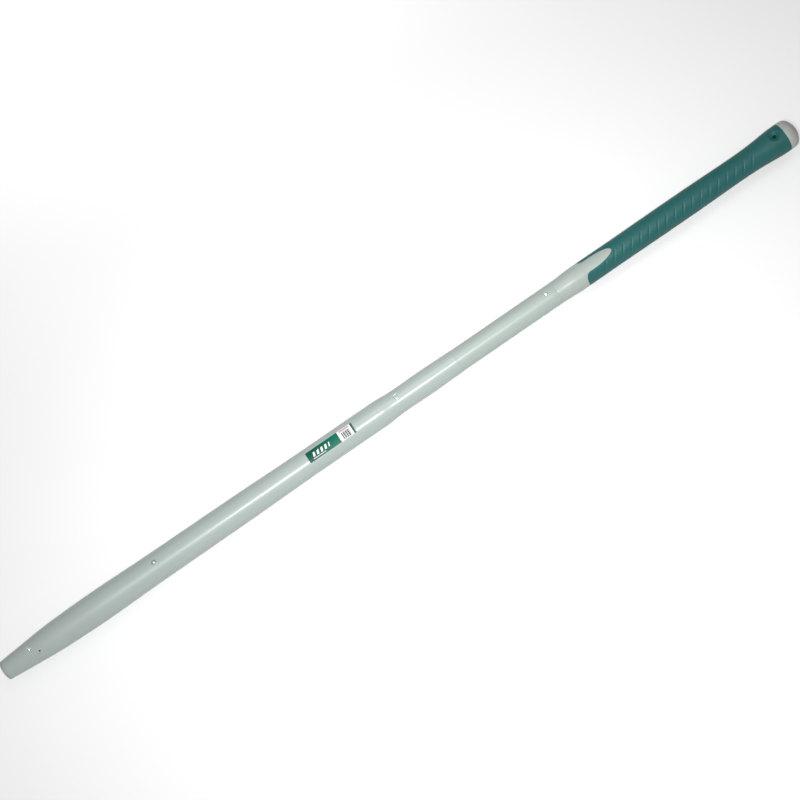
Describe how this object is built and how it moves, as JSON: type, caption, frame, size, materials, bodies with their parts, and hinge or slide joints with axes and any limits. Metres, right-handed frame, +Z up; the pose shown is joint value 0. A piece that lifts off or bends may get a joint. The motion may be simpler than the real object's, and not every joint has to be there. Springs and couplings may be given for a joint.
{
  "type": "roller extension pole",
  "caption": "Telescopic paint roller extension pole with a tapered push-fit nose, snap-button lock, soft ribbed grip and hanging hole.",
  "frame": {"origin": "centre of the flat tip face of the tapered nose", "axes": "+X along the pole from the nose to the grip, +Z up through the lock button, rivet heads and hanging hole, +Y completes the right-handed set"},
  "size_m": [1.077, 0.0362, 0.0364],
  "materials": {
    "barrel": "satin moulded, pale green-grey",
    "nose_plug": "matt moulded",
    "rivet": "bright, domed",
    "steel": "bright zinc-plated",
    "bush": "natural nylon",
    "label": null,
    "tube": "satin powder coat, pale green-grey",
    "core": "satin moulded, pale grey",
    "sleeve": "soft-touch ribbed, teal",
    "cap": "fine textured, warm grey"
  },
  "bodies": {
    "barrel": {"barrel_shell": "barrel", "nose_plug": "nose_plug", "nose_rivets": "rivet", "nose_rivet_mandrels": "steel", "collar": "barrel", "lock_eyelet": "steel", "mouth_bush": "bush", "barrel_label": "label"},
    "sliding_pole": {"inner_tube": "tube", "tail_bush": "bush", "button_spring": "steel", "grip_core": "core", "grip_rivets": "rivet", "grip_rivet_mandrels": "steel", "grip_sleeve": "sleeve", "end_cap": "cap"},
    "button": {"lock_button": "steel"}
  },
  "joints": [
    {"name": "pole_slide", "type": "slide", "parent": "barrel", "child": "sliding_pole", "axis": [1, 0, 0], "range_m": [0, 0.328], "deforming": ["lock_button", "button_spring"]},
    {"name": "button_press", "type": "slide", "parent": "sliding_pole", "child": "button", "axis": [0, 0, -1], "range_m": [0, 0.0033], "stiffness_N_per_m": 1200, "deforming": ["button_spring"]}
  ]
}
